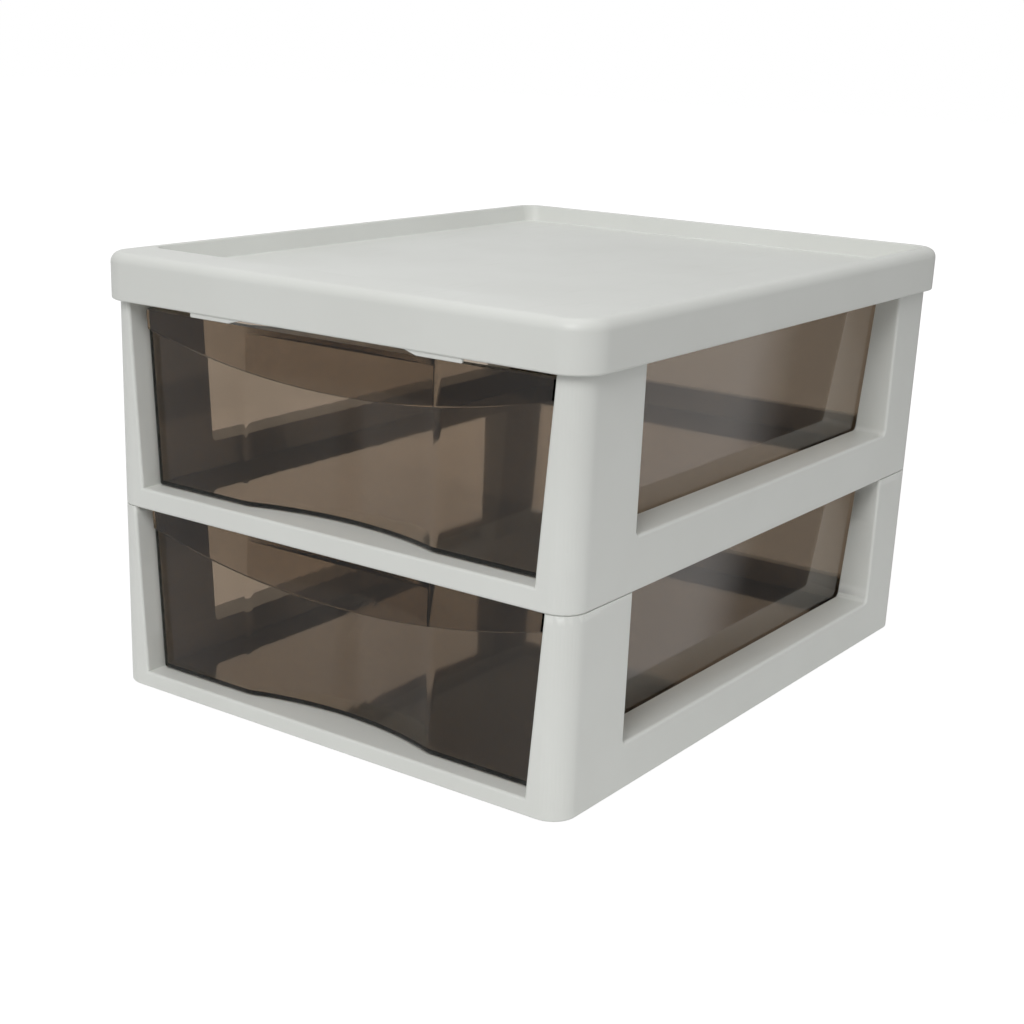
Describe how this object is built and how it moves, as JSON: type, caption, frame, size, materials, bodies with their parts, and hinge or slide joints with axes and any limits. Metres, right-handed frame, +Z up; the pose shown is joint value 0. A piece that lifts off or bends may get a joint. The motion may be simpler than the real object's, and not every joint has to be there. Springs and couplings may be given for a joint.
{
  "type": "desktop drawer unit",
  "caption": "Stacked desktop drawer unit in off-white plastic with open sides, a tray top and smoky translucent sliding drawers sized for A4 paper.",
  "frame": {"origin": "middle of the footprint, on the desk surface", "axes": "+X to the right seen from the front, +Y towards the back, +Z up; the drawers open towards -Y"},
  "size_m": [0.266, 0.346, 0.2085],
  "materials": {
    "white_plastic": "off-white moulded plastic, satin",
    "smoky_plastic": "smoky brown clear plastic, polished"
  },
  "bodies": {
    "cabinet": {"lower_tier_frame": "white_plastic", "upper_tier_frame": "white_plastic", "top_cover": "white_plastic"},
    "lower_drawer": {"lower_drawer": "smoky_plastic"},
    "upper_drawer": {"upper_drawer": "smoky_plastic"}
  },
  "joints": [
    {"name": "lower_drawer_slide", "type": "slide", "parent": "cabinet", "child": "lower_drawer", "axis": [0, -1, 0], "range_m": [0, 0.23]},
    {"name": "upper_drawer_slide", "type": "slide", "parent": "cabinet", "child": "upper_drawer", "axis": [0, -1, 0], "range_m": [0, 0.23]}
  ]
}
